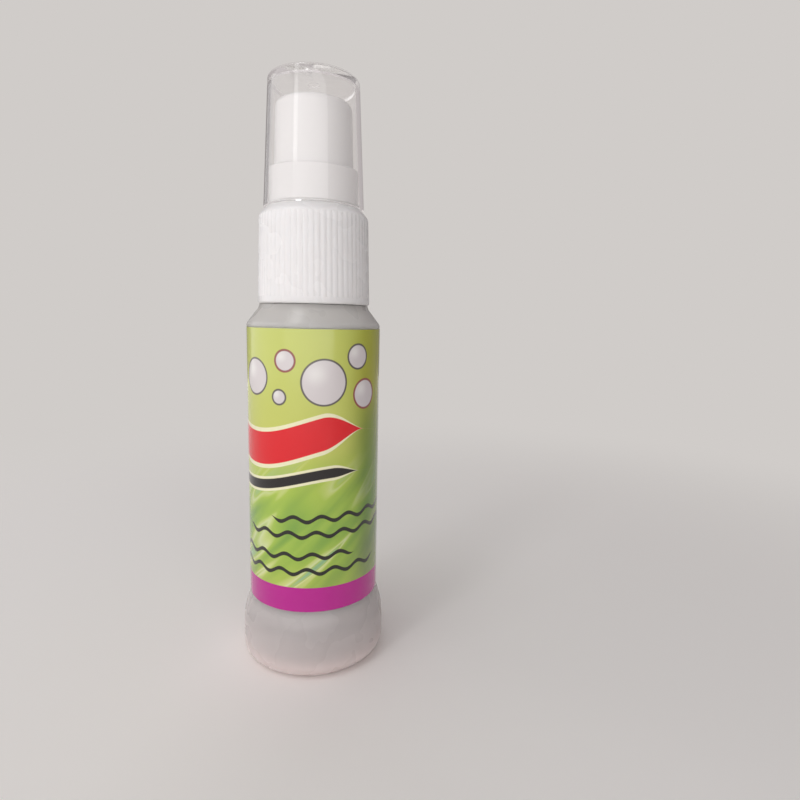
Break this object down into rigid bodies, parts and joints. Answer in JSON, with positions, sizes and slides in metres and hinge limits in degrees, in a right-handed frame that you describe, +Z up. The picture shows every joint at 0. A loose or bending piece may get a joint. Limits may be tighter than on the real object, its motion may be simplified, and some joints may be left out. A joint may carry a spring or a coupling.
{
  "type": "lens cleaning spray",
  "caption": "Pocket fine-mist pump spray for lens cleaner: round bottle, ribbed screw closure, push button and clear overcap.",
  "frame": {"origin": "centre of the foot, on the surface the bottle stands on", "axes": "+Z up along the bottle's axis, +Y the way the spray leaves"},
  "size_m": [0.0286, 0.0286, 0.1121],
  "materials": {
    "bottle_hdpe": "natural polyethylene, silky and slightly see-through",
    "label_film": "glossy printed film",
    "liquid": "clear liquid",
    "white_pp": "polished white polypropylene",
    "natural_pp": "natural polypropylene",
    "gasket_foam": "expanded polyethylene",
    "piston_pe": "low-density polyethylene",
    "tube_pe": "extruded polyethylene",
    "steel": "bright stainless steel",
    "clear_cap": "clear moulded polypropylene"
  },
  "bodies": {
    "bottle": {"bottle": "bottle_hdpe", "label": "label_film", "cleaning_liquid": "liquid"},
    "gasket": {"gasket": "gasket_foam"},
    "pump": {"pump_housing": "natural_pp", "guide_collar": "white_pp", "dip_tube": "tube_pe", "return_spring": "steel"},
    "closure": {"closure": "white_pp"},
    "overcap": {"overcap": "clear_cap"},
    "actuator": {"actuator": "white_pp", "nozzle_insert": "white_pp", "upper_stem": "natural_pp", "valve_stem": "natural_pp"},
    "piston": {"piston": "piston_pe"},
    "inlet_ball": {"inlet_ball": "steel"}
  },
  "joints": [
    {"name": "pump_withdraw", "type": "slide", "parent": "bottle", "child": "gasket", "axis": [0, 0, 1], "range_m": [0, 0.095]},
    {"name": "thread_rise", "type": "slide", "parent": "gasket", "child": "pump", "axis": [0, 0, 1], "range_m": [0, 0.0048]},
    {"name": "closure_turn", "type": "hinge", "parent": "pump", "child": "closure", "pos_m": [0, 0, 0.08], "axis": [0, 0, 1], "range_deg": [0, 540]},
    {"name": "overcap_lift", "type": "slide", "parent": "pump", "child": "overcap", "axis": [0, 0, 1], "range_m": [0, 0.03]},
    {"name": "actuator_press", "type": "slide", "parent": "pump", "child": "actuator", "axis": [0, 0, -1], "range_m": [0, 0.0046], "stiffness_N_per_m": 1600, "springref_m": -0.004, "deforming": ["return_spring"]},
    {"name": "piston_valve", "type": "slide", "parent": "actuator", "child": "piston", "axis": [0, 0, 1], "range_m": [0, 0.0005]},
    {"name": "ball_lift", "type": "slide", "parent": "pump", "child": "inlet_ball", "axis": [0, 0, 1], "range_m": [0, 0.0008]}
  ],
  "couplings": [
    {"joint": "thread_rise", "follows": "closure_turn", "m_per_rad": 0.00050532},
    {"joint": "piston_valve", "follows": "actuator_press", "ratio": 0.1085}
  ]
}
